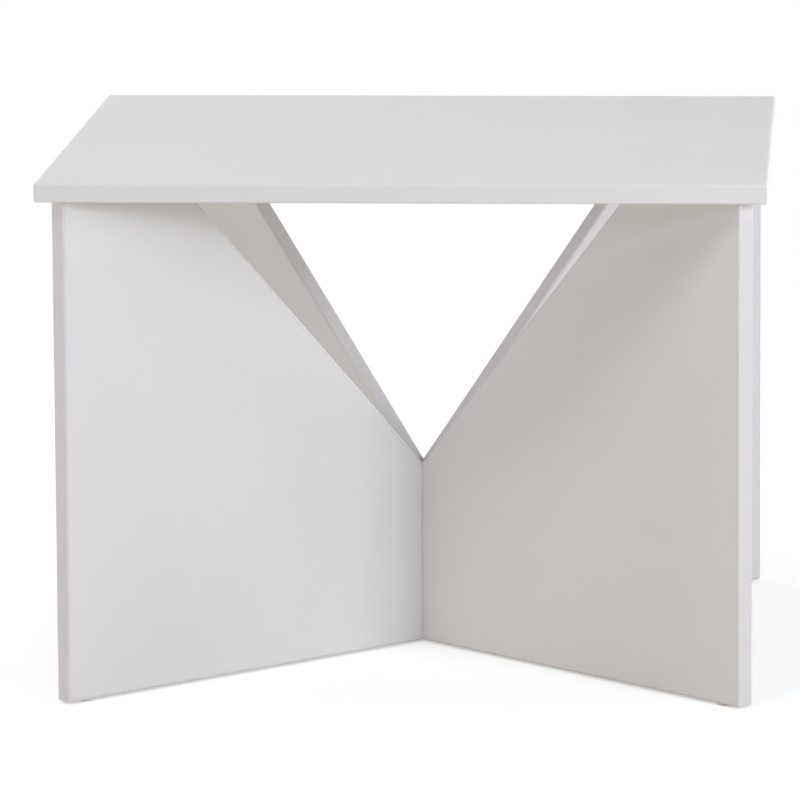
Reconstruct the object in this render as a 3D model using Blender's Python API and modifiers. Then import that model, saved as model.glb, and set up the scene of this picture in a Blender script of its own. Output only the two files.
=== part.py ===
"""White coffee table: a square board on two notched panels that cross under its middle.

Each panel runs from corner to corner of the top. A wide V is cut out of its upper edge, and the
two panels slide into each other at the foot of the V in a cross-lap joint. Dowels and cam
fittings hold the top down on the four wings. The board edges carry strips of edge banding, and
the table stands on four small glides.
"""

import math

import bmesh
import bpy
from mathutils import Matrix, Vector

# Table top, metres
TOP_WIDTH = 0.600
TOP_DEPTH = 0.600
TOP_THICKNESS = 0.016

# Leg panels
LEG_HEIGHT = 0.420
LEG_THICKNESS = 0.016
CORNER_INSET = 0.0243
NOTCH_DEPTH = 0.271
NOTCH_HALF_WIDTH = 0.271
LAP_SHARE = 0.5
LAP_CLEARANCE = 0.0003

# Edge banding
BAND_THICKNESS = 0.002
BAND_EDGE_RADIUS = 0.0015
GLUE_GAP = 0.0003

# Seats and bores
SEAT_GAP = 0.0003
BORE_CLEARANCE = 0.0003
CUT_OVERRUN = 0.002

# Wood dowels
DOWEL_DIAMETER = 0.008
DOWEL_LENGTH = 0.030
DOWEL_IN_TOP = 0.0105
DOWEL_CHAMFER = 0.0008
DOWEL_FLUTE_DEPTH = 0.00035
DOWEL_SETBACK = 0.0245
DOWEL_END_ROOM = 0.001

# Cam locks
CAM_DIAMETER = 0.015
CAM_HEIGHT = 0.0125
CAM_SETBACK = 0.034
CAM_RIM_CHAMFER = 0.0004
CAM_CAVITY_DIAMETER = 0.0104
CAM_ECCENTRICITY = 0.0006
CAM_CROSS_LENGTH = 0.008
CAM_CROSS_WIDTH = 0.002
CAM_CROSS_DEPTH = 0.0024

# Cam bolts
BOLT_BODY_DIAMETER = 0.007
BOLT_HEAD_DIAMETER = 0.007
BOLT_HEAD_HEIGHT = 0.0026
BOLT_NECK_DIAMETER = 0.0042
BOLT_NECK_LENGTH = 0.0075
BOLT_COLLAR_HEIGHT = 0.0016
BOLT_WAIST_DIAMETER = 0.0056
BOLT_THREAD_DIAMETER = 0.006
BOLT_THREAD_LENGTH = 0.0105
BOLT_CHAMFER = 0.0006

# Cover caps over the cams
CAP_DIAMETER = 0.0172
CAP_THICKNESS = 0.0011
CAP_EDGE = 0.0005
CAP_PEG_LENGTH = 0.0018
CAP_PEG_SPAN = 0.0066
CAP_PEG_WIDTH = 0.0012

# Nail-in glides
GLIDE_DIAMETER = 0.013
GLIDE_HEIGHT = 0.0015
GLIDE_EDGE = 0.0006
GLIDE_SETBACK = 0.025
NAIL_DIAMETER = 0.0022
NAIL_LENGTH = 0.012
NAIL_TIP = 0.002

# Counts and tolerances of the mesh
ROUND_STEPS = 32
SMALL_ROUND_STEPS = 24
BEVEL_STEPS = 3
SHARP_DEGREES = 30
CHAMFERED_RIM_DEGREES = 60
WELD_DISTANCE = 0.00001

# Worked out from the sizes above
BAND_STEP = BAND_THICKNESS + GLUE_GAP
DIAGONAL_ANGLE = math.atan2(TOP_DEPTH, TOP_WIDTH)
CROSSING_ANGLE = 2 * min(DIAGONAL_ANGLE, math.pi / 2 - DIAGONAL_ANGLE)
LEG_REACH = math.hypot(TOP_WIDTH, TOP_DEPTH) / 2 - CORNER_INSET
APEX_HEIGHT = LEG_HEIGHT - NOTCH_DEPTH
NOTCH_ANGLE = math.atan2(NOTCH_DEPTH, NOTCH_HALF_WIDTH)
LAP_HEIGHT = APEX_HEIGHT * LAP_SHARE
FOOT_LEVEL = GLIDE_HEIGHT + SEAT_GAP
UNDERSIDE = LEG_HEIGHT + SEAT_GAP
CAM_REACH = (NOTCH_HALF_WIDTH + LEG_REACH) / 2
DOWEL_REACHES = {"inner": NOTCH_HALF_WIDTH + DOWEL_SETBACK, "outer": LEG_REACH - DOWEL_SETBACK}
CAM_LEVEL = LEG_HEIGHT - CAM_SETBACK
# The rim of the bolt's head bears on the round wall of the cam's cavity, nearest the top.
HEAD_RIM_RADIUS = BOLT_HEAD_DIAMETER / 2 - BOLT_CHAMFER
HEAD_WALL_RADIUS = CAM_CAVITY_DIAMETER / 2 - BORE_CLEARANCE
BOLT_HEAD_TOP = math.sqrt(HEAD_WALL_RADIUS ** 2 - HEAD_RIM_RADIUS ** 2) - CAM_ECCENTRICITY
GLIDE_REACH = LEG_REACH - GLIDE_SETBACK
HIDDEN_FACE = LEG_THICKNESS / 2

# Finishes: colour, roughness, metallic
WHITE_MELAMINE = ((0.76, 0.76, 0.75), 0.42, 0.0)
WHITE_BANDING = ((0.77, 0.77, 0.765), 0.38, 0.0)
BEECH = ((0.62, 0.43, 0.25), 0.65, 0.0)
ZINC = ((0.58, 0.58, 0.57), 0.40, 1.0)
BRIGHT_STEEL = ((0.62, 0.60, 0.56), 0.32, 1.0)
WHITE_PLASTIC = ((0.78, 0.78, 0.77), 0.35, 0.0)


class Panel:
    """One leg panel: where it stands, the names of its two wings and its half of the lap joint."""

    def __init__(self, name, angle, wing_names, slot_from_below):
        self.name = name
        self.wings = dict(zip((-1, 1), wing_names))
        self.slot_from_below = slot_from_below
        self.matrix = Matrix.Translation((0, 0, FOOT_LEVEL)) @ Matrix.Rotation(angle, 4, "Z")
        self.guide = None


PANEL_A = Panel("leg_panel_a", DIAGONAL_ANGLE, ("front_left", "back_right"), True)
PANEL_B = Panel("leg_panel_b", -DIAGONAL_ANGLE, ("back_left", "front_right"), False)
PANELS = (PANEL_A, PANEL_B)


# Scene and collections
def clear_scene():
    for obj in list(bpy.data.objects):
        bpy.data.objects.remove(obj, do_unlink=True)
    for collection in list(bpy.data.collections):
        bpy.data.collections.remove(collection)


def new_collection(name):
    collection = bpy.data.collections.new(name)
    bpy.context.scene.collection.children.link(collection)
    return collection


def add_guide(panel):
    """An empty at the middle of a panel's foot, which the panel's pieces hang on."""
    guide = bpy.data.objects.new(panel.name + "_guide", None)
    guide.empty_display_size = LEG_THICKNESS
    guide.matrix_world = panel.matrix
    parts.objects.link(guide)
    panel.guide = guide


def add_object(name, mesh, collection, parent=None):
    obj = bpy.data.objects.new(name, mesh)
    collection.objects.link(obj)
    obj.parent = parent
    return obj


def give_finish(obj, name, finish):
    """A material of its own for the piece, or for the mesh that a set of fittings shares."""
    colour, roughness, metallic = finish
    material = bpy.data.materials.get(name) or bpy.data.materials.new(name)
    material.use_nodes = True
    shader = material.node_tree.nodes["Principled BSDF"]
    shader.inputs["Base Color"].default_value = (*colour, 1.0)
    shader.inputs["Roughness"].default_value = roughness
    shader.inputs["Metallic"].default_value = metallic
    material.diffuse_color = (*colour, 1.0)
    obj.data.materials.clear()
    obj.data.materials.append(material)


# Shapes
def bar(name, size, centre, collection, parent=None, soft=None):
    """A box of the given size. soft(x, y, z) picks the edges to round by the side they lie on."""
    bm = bmesh.new()
    bmesh.ops.create_cube(bm, size=1)
    if soft:
        weights = bm.edges.layers.float.new("bevel_weight_edge")
        for edge in bm.edges:
            middle = (edge.verts[0].co + edge.verts[1].co) / 2
            side = [round(2 * value) for value in middle]
            edge[weights] = 1.0 if soft(*side) else 0.0
    bmesh.ops.scale(bm, vec=Vector(size), verts=bm.verts)
    mesh = bpy.data.meshes.new(name)
    bm.to_mesh(mesh)
    bm.free()
    obj = add_object(name, mesh, collection, parent)
    obj.location = centre
    if soft:
        rounding = obj.modifiers.new("rounded_edges", "BEVEL")
        rounding.limit_method = "WEIGHT"
        rounding.width = BAND_EDGE_RADIUS
        rounding.segments = BEVEL_STEPS
    return obj


def cutter_bar(name, size, centre, parent=None):
    obj = bar(name, size, centre, cutters, parent)
    obj.hide_render = True
    obj.display_type = "WIRE"
    return obj


def cutter_drill(name, diameter, length, centre, parent=None, turn=(0, 0, 0)):
    """A round cutter along its own Z, centred on the given point."""
    bm = bmesh.new()
    bmesh.ops.create_cone(bm, cap_ends=True, segments=ROUND_STEPS, radius1=diameter / 2,
                          radius2=diameter / 2, depth=length)
    mesh = bpy.data.meshes.new(name)
    bm.to_mesh(mesh)
    bm.free()
    obj = add_object(name, mesh, cutters, parent)
    obj.location = centre
    obj.rotation_euler = turn
    obj.hide_render = True
    obj.display_type = "WIRE"
    return obj


def cut(target, *tools, operation="DIFFERENCE"):
    for tool in tools:
        modifier = target.modifiers.new(tool.name, "BOOLEAN")
        modifier.operation = operation
        modifier.solver = "EXACT"
        modifier.object = tool


def outline_plate(name, points, thickness, collection, parent=None):
    """A flat outline in its own XY plane, as thick as given, with the outline in the middle."""
    curve = bpy.data.curves.new(name, "CURVE")
    curve.dimensions = "2D"
    curve.fill_mode = "BOTH"
    curve.extrude = thickness / 2
    spline = curve.splines.new("POLY")
    spline.points.add(len(points) - 1)
    spline.use_cyclic_u = True
    for point, (x, y) in zip(spline.points, points):
        point.co = (x, y, 0, 1)
    drawing = add_object(name + "_outline", curve, collection)
    bpy.context.view_layer.update()
    shape = drawing.evaluated_get(bpy.context.evaluated_depsgraph_get())
    mesh = bpy.data.meshes.new_from_object(shape)
    bpy.data.objects.remove(drawing, do_unlink=True)
    mesh.name = name
    bm = bmesh.new()
    bm.from_mesh(mesh)
    bmesh.ops.remove_doubles(bm, verts=bm.verts, dist=WELD_DISTANCE)
    bmesh.ops.recalc_face_normals(bm, faces=bm.faces)
    bm.to_mesh(mesh)
    bm.free()
    return add_object(name, mesh, collection, parent)


def turned(name, profile, steps, collection):
    """A solid of revolution about Z. The profile is (radius, height), from top to bottom."""
    mesh = bpy.data.meshes.new(name)
    ends = list(zip(range(len(profile) - 1), range(1, len(profile))))
    mesh.from_pydata([(radius, 0, height) for radius, height in profile], ends, [])
    obj = add_object(name, mesh, collection)
    screw = obj.modifiers.new("turned", "SCREW")
    screw.axis = "Z"
    screw.steps = steps
    screw.render_steps = steps
    screw.use_merge_vertices = True
    screw.merge_threshold = WELD_DISTANCE
    screw.use_smooth_shade = True
    return obj


def put_copies(master, finish, places):
    """A separate object with the master's final mesh at each named place. The master goes."""
    bpy.context.view_layer.update()
    shape = master.evaluated_get(bpy.context.evaluated_depsgraph_get())
    mesh = bpy.data.meshes.new_from_object(shape)
    mesh.name = master.name
    mesh.shade_smooth()
    mesh.set_sharp_from_angle(angle=math.radians(SHARP_DEGREES))
    bpy.data.objects.remove(master, do_unlink=True)
    for name, panel, place in places:
        obj = add_object(name, mesh, parts, panel.guide)
        obj.matrix_local = place
        give_finish(obj, mesh.name, finish)


# Table top
def make_top():
    """The top board inside its four strips of edge banding."""
    level = FOOT_LEVEL + UNDERSIDE + TOP_THICKNESS / 2
    core_size = (TOP_WIDTH - 2 * BAND_STEP, TOP_DEPTH - 2 * BAND_STEP, TOP_THICKNESS)
    core = bar("top_board", core_size, (0, 0, level), parts)
    give_finish(core, core.name, WHITE_MELAMINE)
    for panel in PANELS:
        for side, wing in panel.wings.items():
            cut(core, *top_bores(panel, side, wing))

    strip = BAND_THICKNESS / 2
    long_size = (TOP_WIDTH, BAND_THICKNESS, TOP_THICKNESS)
    short_size = (BAND_THICKNESS, TOP_DEPTH - 2 * BAND_STEP, TOP_THICKNESS)
    for name, side in (("top_front_band", -1), ("top_back_band", 1)):
        centre = (0, side * (TOP_DEPTH / 2 - strip), level)
        band = bar(name, long_size, centre, parts, soft=lambda x, y, z, out=side: y != -out)
        give_finish(band, band.name, WHITE_BANDING)
    for name, side in (("top_left_band", -1), ("top_right_band", 1)):
        centre = (side * (TOP_WIDTH / 2 - strip), 0, level)
        band = bar(name, short_size, centre, parts,
                   soft=lambda x, y, z, out=side: x == out and y == 0)
        give_finish(band, band.name, WHITE_BANDING)


def top_bores(panel, side, wing):
    """The blind bores over one wing, for two dowels and the thread of a cam bolt."""
    bores = []
    depth = DOWEL_IN_TOP + BORE_CLEARANCE + CUT_OVERRUN
    centre_z = UNDERSIDE - CUT_OVERRUN + depth / 2
    for row, reach in DOWEL_REACHES.items():
        bores.append(cutter_drill(f"{wing}_{row}_dowel_bore_in_top",
                                  DOWEL_DIAMETER + 2 * BORE_CLEARANCE, depth,
                                  (side * reach, 0, centre_z), panel.guide))
    depth = BOLT_THREAD_LENGTH + BORE_CLEARANCE + CUT_OVERRUN
    centre_z = UNDERSIDE - CUT_OVERRUN + depth / 2
    bores.append(cutter_drill(f"{wing}_bolt_bore_in_top",
                              BOLT_THREAD_DIAMETER + 2 * BORE_CLEARANCE, depth,
                              (side * CAM_REACH, 0, centre_z), panel.guide))
    return bores


# Leg panels
def lap_cutter(panel, other):
    """The slot in a panel that takes the other panel, cut along the other panel's run."""
    length = 2 * (LEG_THICKNESS + CUT_OVERRUN) / math.sin(CROSSING_ANGLE)
    width = LEG_THICKNESS + 2 * LAP_CLEARANCE
    if panel.slot_from_below:
        low, high = -CUT_OVERRUN, LAP_HEIGHT + LAP_CLEARANCE / 2
    else:
        low, high = LAP_HEIGHT - LAP_CLEARANCE / 2, LEG_HEIGHT
    return cutter_bar(panel.name + "_lap_slot", (length, width, high - low),
                      (0, 0, (low + high) / 2), other.guide)


def leg_bores(panel, side, wing):
    """The bores in one wing: cam housing, cam bolt, two dowels and the nail of a glide."""
    reach = side * CAM_REACH
    cam_depth = CAM_HEIGHT + SEAT_GAP + BORE_CLEARANCE + CUT_OVERRUN
    cam_y = HIDDEN_FACE + CUT_OVERRUN - cam_depth / 2
    cam = cutter_drill(f"{wing}_cam_bore", CAM_DIAMETER + 2 * BORE_CLEARANCE, cam_depth,
                       (reach, cam_y, CAM_LEVEL), panel.guide, (math.pi / 2, 0, 0))
    bolt_depth = CAM_SETBACK + CUT_OVERRUN
    bolt = cutter_drill(f"{wing}_bolt_bore", BOLT_BODY_DIAMETER + 2 * BORE_CLEARANCE, bolt_depth,
                        (reach, 0, CAM_LEVEL + bolt_depth / 2), panel.guide)
    dowel_depth = DOWEL_LENGTH - DOWEL_IN_TOP - SEAT_GAP + DOWEL_END_ROOM + CUT_OVERRUN
    dowel_z = LEG_HEIGHT + CUT_OVERRUN - dowel_depth / 2
    dowels = [cutter_drill(f"{wing}_{row}_dowel_bore", DOWEL_DIAMETER + 2 * BORE_CLEARANCE,
                           dowel_depth, (side * at, 0, dowel_z), panel.guide)
              for row, at in DOWEL_REACHES.items()]
    return [cam, bolt, *dowels]


def nail_bore(panel, side, wing):
    depth = NAIL_LENGTH + BORE_CLEARANCE + CUT_OVERRUN
    return cutter_drill(f"{wing}_nail_bore", NAIL_DIAMETER + 2 * BORE_CLEARANCE, depth,
                        (side * GLIDE_REACH, 0, depth / 2 - CUT_OVERRUN), panel.guide)


def panel_outline():
    """The panel inside its banding: a low bridge between two wings, with the V between them."""
    end = LEG_REACH - BAND_STEP
    v_corner = NOTCH_HALF_WIDTH + BAND_STEP / math.sin(NOTCH_ANGLE)
    v_foot = APEX_HEIGHT - BAND_STEP / math.cos(NOTCH_ANGLE)
    return [(-end, BAND_STEP), (end, BAND_STEP), (end, LEG_HEIGHT), (v_corner, LEG_HEIGHT),
            (0, v_foot), (-v_corner, LEG_HEIGHT), (-end, LEG_HEIGHT)]


def make_panel(panel, other):
    board = outline_plate(panel.name, panel_outline(), LEG_THICKNESS, parts, panel.guide)
    board.rotation_euler = (math.pi / 2, 0, 0)
    give_finish(board, board.name, WHITE_MELAMINE)
    lap = lap_cutter(panel, other)
    cut(board, lap)
    above = cutter_bar(panel.name + "_above", (2 * LEG_REACH, 2 * LEG_THICKNESS, LEG_HEIGHT),
                       (0, 0, LEG_HEIGHT + LEG_HEIGHT / 2), panel.guide)
    nails = []
    for side, wing in panel.wings.items():
        cut(board, *leg_bores(panel, side, wing))
        nails.append(nail_bore(panel, side, wing))
        make_end_band(panel, side, wing)
        make_notch_band(panel, side, wing, lap, above)
    cut(board, *nails)
    make_foot_bands(panel, lap, nails)


def make_end_band(panel, side, wing):
    """The upright strip on the end of a wing, rounded where it shows."""
    band = bar(f"{wing}_end_band", (BAND_THICKNESS, LEG_THICKNESS, LEG_HEIGHT),
               (side * (LEG_REACH - BAND_THICKNESS / 2), 0, LEG_HEIGHT / 2), parts, panel.guide,
               soft=lambda x, y, z: (x == side and z == 0) or (z == -1 and x != -side))
    give_finish(band, band.name, WHITE_BANDING)


def make_notch_band(panel, side, wing, lap, above):
    """The strip down one slope of the V, from the top board to the crossing."""
    slope = math.hypot(NOTCH_HALF_WIDTH, NOTCH_DEPTH)
    overrun = 2 * BAND_THICKNESS
    along = Vector((math.cos(NOTCH_ANGLE), 0, math.sin(NOTCH_ANGLE)))
    inward = Vector((math.sin(NOTCH_ANGLE), 0, -math.cos(NOTCH_ANGLE)))
    centre = Vector((0, 0, APEX_HEIGHT)) + along * slope / 2 + inward * BAND_THICKNESS / 2
    centre.x *= side
    band = bar(f"{wing}_notch_band", (slope + 2 * overrun, LEG_THICKNESS, BAND_THICKNESS),
               centre, parts, panel.guide, soft=lambda x, y, z: x == 0 and z == 1)
    band.rotation_euler = (0, -side * NOTCH_ANGLE, 0)
    cut(band, above)
    if panel.slot_from_below:
        size = (2 * LEG_THICKNESS, 2 * LEG_THICKNESS, LEG_HEIGHT)
        mitre = cutter_bar(f"{wing}_mitre", size,
                           (-side * (LEG_THICKNESS - GLUE_GAP / 2), 0, LEG_HEIGHT / 2),
                           panel.guide)
        cut(band, mitre)
    else:
        cut(band, lap)
    give_finish(band, band.name, WHITE_BANDING)


def make_foot_bands(panel, lap, nails):
    """The strip along the foot of a panel: one length, or two where the lap slot breaks it."""
    end = LEG_REACH - BAND_STEP
    level = BAND_THICKNESS / 2
    if panel.slot_from_below:
        for (side, wing), nail in zip(panel.wings.items(), nails):
            band = bar(f"{wing}_foot_band", (end, LEG_THICKNESS, BAND_THICKNESS),
                       (side * end / 2, 0, level), parts, panel.guide,
                       soft=lambda x, y, z: x == 0 and z == -1)
            cut(band, lap, nail)
            give_finish(band, band.name, WHITE_BANDING)
    else:
        band = bar(f"{panel.name}_foot_band", (2 * end, LEG_THICKNESS, BAND_THICKNESS),
                   (0, 0, level), parts, panel.guide, soft=lambda x, y, z: x == 0 and z == -1)
        cut(band, *nails)
        give_finish(band, band.name, WHITE_BANDING)


# Fittings
def wing_places(kind, reach, level, outward=0, turn=Matrix()):
    """The name, panel and local matrix of one fitting in each wing."""
    return [(f"{wing}_{kind}", panel, Matrix.Translation((side * reach, outward, level)) @ turn)
            for panel in PANELS for side, wing in panel.wings.items()]


def make_dowels():
    """Fluted wood dowels, two in each wing."""
    bm = bmesh.new()
    bmesh.ops.create_cone(bm, cap_ends=True, segments=SMALL_ROUND_STEPS,
                          radius1=DOWEL_DIAMETER / 2, radius2=DOWEL_DIAMETER / 2,
                          depth=DOWEL_LENGTH)
    flute = 1 - 2 * DOWEL_FLUTE_DEPTH / DOWEL_DIAMETER
    step = 2 * math.pi / SMALL_ROUND_STEPS
    for vert in bm.verts:
        if round(math.atan2(vert.co.y, vert.co.x) / step) % 2:
            vert.co.x *= flute
            vert.co.y *= flute
    mesh = bpy.data.meshes.new("dowel")
    bm.to_mesh(mesh)
    bm.free()
    master = add_object("dowel", mesh, parts)
    chamfer = master.modifiers.new("chamfer", "BEVEL")
    chamfer.limit_method = "ANGLE"
    chamfer.angle_limit = math.radians(CHAMFERED_RIM_DEGREES)
    chamfer.width = DOWEL_CHAMFER
    chamfer.segments = 1
    level = UNDERSIDE + DOWEL_IN_TOP - DOWEL_LENGTH / 2
    places = [place for row, reach in DOWEL_REACHES.items()
              for place in wing_places(f"{row}_dowel", reach, level)]
    put_copies(master, BEECH, places)


def bolt_profile():
    """Cam bolt from the tip of its thread down to its head, with the cam's centre at zero."""
    body = BOLT_BODY_DIAMETER / 2
    neck = BOLT_NECK_DIAMETER / 2
    head = BOLT_HEAD_DIAMETER / 2
    thread = BOLT_THREAD_DIAMETER / 2
    waist = BOLT_WAIST_DIAMETER / 2
    collar_top = CAM_SETBACK
    collar_foot = collar_top - BOLT_COLLAR_HEIGHT
    tip = collar_top + SEAT_GAP + BOLT_THREAD_LENGTH
    head_foot = BOLT_HEAD_TOP - BOLT_HEAD_HEIGHT
    shoulder = BOLT_HEAD_TOP + BOLT_NECK_LENGTH
    return [(0, tip), (thread - BOLT_CHAMFER, tip), (thread, tip - BOLT_CHAMFER),
            (thread, collar_top), (body, collar_top), (body, collar_foot), (waist, collar_foot),
            (waist, shoulder + BOLT_CHAMFER), (neck, shoulder), (neck, BOLT_HEAD_TOP),
            (HEAD_RIM_RADIUS, BOLT_HEAD_TOP), (head, BOLT_HEAD_TOP - BOLT_CHAMFER),
            (head, head_foot + BOLT_CHAMFER), (HEAD_RIM_RADIUS, head_foot), (0, head_foot)]


def make_bolts():
    master = turned("bolt", bolt_profile(), SMALL_ROUND_STEPS, parts)
    put_copies(master, BRIGHT_STEEL, wing_places("cam_bolt", CAM_REACH, CAM_LEVEL))


def cam_places(kind, outward):
    """Cams and caps face out of the hidden side of their panel, +Y of the cam to the top."""
    turn = Matrix.Rotation(math.pi, 4, "Z") @ Matrix.Rotation(math.pi / 2, 4, "X")
    return wing_places(kind, CAM_REACH, CAM_LEVEL, HIDDEN_FACE + outward, turn)


def make_cams():
    """Cam drums: a cross recess in the face, a cavity for the bolt's head, a slot for its neck."""
    radius = CAM_DIAMETER / 2
    rim = radius - CAM_RIM_CHAMFER
    profile = [(0, 0), (rim, 0), (radius, -CAM_RIM_CHAMFER), (radius, CAM_RIM_CHAMFER - CAM_HEIGHT),
               (rim, -CAM_HEIGHT), (0, -CAM_HEIGHT)]
    master = turned("cam", profile, ROUND_STEPS, parts)
    bolt_depth = SEAT_GAP - HIDDEN_FACE
    head_room = BOLT_HEAD_DIAMETER + 2 * BORE_CLEARANCE
    neck_room = BOLT_NECK_DIAMETER + 2 * BORE_CLEARANCE
    cavity = cutter_drill("cam_cavity", CAM_CAVITY_DIAMETER, head_room,
                          (0, -CAM_ECCENTRICITY, bolt_depth))
    mouth = cutter_bar("cam_mouth", (radius + CUT_OVERRUN, head_room, head_room),
                       ((radius + CUT_OVERRUN) / 2, 0, bolt_depth))
    sweep = cutter_bar("cam_sweep", (radius + CUT_OVERRUN + neck_room / 2,
                                     radius + CUT_OVERRUN, neck_room),
                       ((radius + CUT_OVERRUN - neck_room / 2) / 2, (radius + CUT_OVERRUN) / 2,
                        bolt_depth))
    recess_depth = CAM_CROSS_DEPTH + CUT_OVERRUN
    recess_z = CUT_OVERRUN - recess_depth / 2
    across = cutter_bar("cam_cross_x", (CAM_CROSS_LENGTH, CAM_CROSS_WIDTH, recess_depth),
                        (0, 0, recess_z))
    upright = cutter_bar("cam_cross_y", (CAM_CROSS_WIDTH, CAM_CROSS_LENGTH, recess_depth),
                         (0, 0, recess_z))
    cut(master, cavity, mouth, sweep, across, upright)
    put_copies(master, ZINC, cam_places("cam_lock", -SEAT_GAP))


def make_caps():
    """Press-in caps over the cams, held by a small cross under each."""
    radius = CAP_DIAMETER / 2
    profile = [(0, CAP_THICKNESS), (radius - 2 * CAP_EDGE, CAP_THICKNESS),
               (radius - CAP_EDGE / 2, CAP_THICKNESS - CAP_EDGE / 2),
               (radius, CAP_THICKNESS - CAP_EDGE), (radius, 0), (0, 0)]
    master = turned("cap", profile, ROUND_STEPS, parts)
    peg_length = CAP_PEG_LENGTH + CAP_THICKNESS / 2
    peg_z = CAP_THICKNESS / 2 - peg_length / 2
    across = cutter_bar("cap_peg_x", (CAP_PEG_SPAN, CAP_PEG_WIDTH, peg_length), (0, 0, peg_z))
    upright = cutter_bar("cap_peg_y", (CAP_PEG_WIDTH, CAP_PEG_SPAN, peg_length), (0, 0, peg_z))
    cut(master, across, upright, operation="UNION")
    put_copies(master, WHITE_PLASTIC, cam_places("cam_cap", SEAT_GAP))


def make_glides():
    """A flat glide with its nail under the end of each wing."""
    radius = GLIDE_DIAMETER / 2
    nail = NAIL_DIAMETER / 2
    profile = [(0, GLIDE_HEIGHT + SEAT_GAP + NAIL_LENGTH),
               (nail, GLIDE_HEIGHT + SEAT_GAP + NAIL_LENGTH - NAIL_TIP), (nail, GLIDE_HEIGHT),
               (radius, GLIDE_HEIGHT), (radius, GLIDE_EDGE), (radius - GLIDE_EDGE, 0), (0, 0)]
    master = turned("glide", profile, SMALL_ROUND_STEPS, parts)
    put_copies(master, WHITE_PLASTIC, wing_places("glide", GLIDE_REACH, -FOOT_LEVEL))


clear_scene()
parts = new_collection("coffee_table")
cutters = new_collection("cutters")
for each_panel in PANELS:
    add_guide(each_panel)
make_top()
make_panel(PANEL_A, PANEL_B)
make_panel(PANEL_B, PANEL_A)
make_dowels()
make_bolts()
make_cams()
make_caps()
make_glides()
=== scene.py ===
"""Dresses the white coffee table: its boards, edge banding and fittings, and a studio.

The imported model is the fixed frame. Boards keep their own solids and get a melamine finish over a
chipboard core. Edge banding and fittings are modelled again, finer, where the frame has them.
"""

import math

import bmesh
import bpy
from mathutils import Matrix, Vector


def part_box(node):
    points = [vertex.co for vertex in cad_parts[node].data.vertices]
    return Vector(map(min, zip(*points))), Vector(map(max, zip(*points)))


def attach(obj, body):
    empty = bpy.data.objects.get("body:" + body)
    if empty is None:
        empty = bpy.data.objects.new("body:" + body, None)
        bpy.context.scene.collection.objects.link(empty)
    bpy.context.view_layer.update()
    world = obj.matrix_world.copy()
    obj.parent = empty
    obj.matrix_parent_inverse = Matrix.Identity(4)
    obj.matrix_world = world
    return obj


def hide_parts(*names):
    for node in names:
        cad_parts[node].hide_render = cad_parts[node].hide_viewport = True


bl_info = {
    "name": "White Coffee Table",
    "version": (1, 0, 0),
    "blender": (4, 5, 0),
    "location": "View3D > Sidebar > Coffee Table",
    "description": "Dresses a flat-pack coffee table of white board with banding and fittings",
    "category": "Object",
}

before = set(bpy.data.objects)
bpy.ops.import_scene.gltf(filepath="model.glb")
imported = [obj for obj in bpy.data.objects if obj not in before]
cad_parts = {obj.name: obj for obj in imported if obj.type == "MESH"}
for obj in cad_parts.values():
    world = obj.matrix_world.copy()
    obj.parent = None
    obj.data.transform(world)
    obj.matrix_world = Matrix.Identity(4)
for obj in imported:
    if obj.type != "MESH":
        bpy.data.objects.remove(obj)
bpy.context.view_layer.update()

BODY = "root"
UP = Vector((0, 0, 1))

# Sockets of the colour mix node
MIX_FACTOR, MIX_A, MIX_B, MIX_RESULT = 0, 6, 7, 2

# Gap of the frame between the banding and the board, which the glue fills
GLUED_GAP = 0.0003

# Texture scales, in features per metre
CLOUD_SCALE = 6
SMEAR_SCALE = 18
FLECK_SCALE = 700
PEARL_SCALE = 1100
SPARK_SCALE = 1650
CHIP_SCALE = 420
LINE_SCALE = 1500
GRAIN_SCALE = 900
GRAIN_FLECK_SCALE = 1800
METAL_SCALE = 2500
BLOTCH_SCALE = 310

# Shares of those scales along X, Y and Z, for textures drawn out along one of them
SMEAR_STRETCH = (1, 1, 0.4)
LINE_STRETCH = (0.01, 1, 1)
GRAIN_STRETCH = (1, 1, 0.06)
GRAIN_FLECK_STRETCH = (1, 1, 0.15)

# Reliefs, in metres, and the pearl texture's share of the chips' relief
CHIP_RELIEF = 0.0004
FINE_RELIEF = 0.000006
CAST_RELIEF = 0.000012
PEARL_SHARE = 0.016

# Tones of each finish, as shares of its colour
CLOUD_TONES = (0.985, 1.008)
FLECK_TONE, FLECK_SHARE = 0.96, 0.35
CHIP_TONES = (0.7, 1.35)
BANDING_TONES = (0.985, 1.0)
GRAIN_TONES = (0.8, 1.1)
GRAIN_FLECK_TONE, GRAIN_FLECK_SHARE, GRAIN_FLECK_LEVELS = 0.5, 0.6, (0.6, 0.75)
METAL_TONES = (0.9, 1.05)
PLASTIC_TONES = (0.98, 1.01)

# Roughness of the small parts, and how far any roughness varies
BEECH_ROUGHNESS = 0.6
PLASTIC_ROUGHNESS = 0.39
BOLT_ROUGHNESS = 0.30
CAST_ROUGHNESS = 0.45
NAIL_ROUGHNESS = 0.35
ROUGHNESS_SPREAD = 0.03

# Counts and angles of the round meshes
ROUND_STEPS = 64
BOLT_STEPS = 32
DOWEL_FLUTES = 18
STEPS_PER_FLUTE = 4
STEPS_PER_THREAD = 8
CROWN_STEPS = 6
EDGE_STEPS = 6
SHARP_DEGREES = 30

# Decimal places, in metres, to which the rings of a solid of the frame are told apart
RING_PLACES = 5

# Radius of a nail's blunt tip as a share of the nail's, and rounding of a glide's upper rim
# as a share of its lower rim's
NAIL_TIP_SHARE = 0.25
UPPER_RIM_SHARE = 0.5

# The camera's sensor and the reach of its view, in millimetres and metres
SENSOR_WIDTH = 36
VIEW_REACH = 100

WHITE = (1.0, 1.0, 1.0)

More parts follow.
